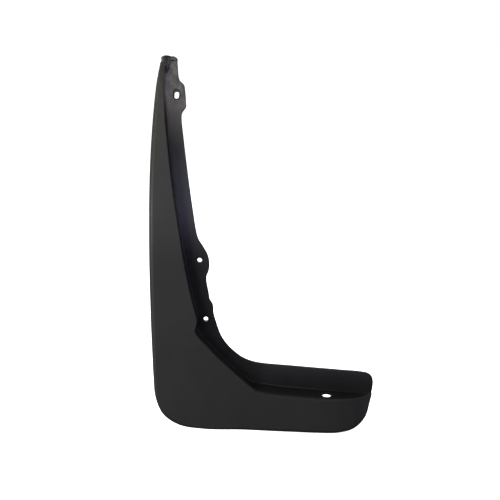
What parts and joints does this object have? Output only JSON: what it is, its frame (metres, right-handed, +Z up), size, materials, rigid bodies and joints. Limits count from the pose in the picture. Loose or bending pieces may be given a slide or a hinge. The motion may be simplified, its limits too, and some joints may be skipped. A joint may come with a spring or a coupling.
{
  "type": "mud flap",
  "caption": "L-shaped wheel-arch mud flap: a one-piece moulded shell with a raised blade, a curved fixing flange, a sill shelf, screw eyelets, an end pad and a sealing bead",
  "frame": {"origin": "On the body-side face of the fixing flange, midway between the two lower screw holes.", "axes": "+Z up along the arm, +X along the foot away from the arm, -Y towards the body panel and +Y towards the wheel."},
  "size_m": [0.2501, 0.091, 0.4185],
  "materials": {
    "moulding": "black polyolefin, grained on the blade and smooth on the flange",
    "foam": "open, rough-cut foam, dark grey",
    "seal": "satin black sealing bead",
    "eyelet": "smooth black nylon"
  },
  "bodies": {
    "root": {"flap_moulding": "moulding", "tip_foam_pad": "foam", "shelf_seal_bead": "seal", "top_hole_eyelet": "eyelet", "middle_hole_eyelet": "eyelet", "lower_hole_eyelet": "eyelet"}
  },
  "joints": []
}
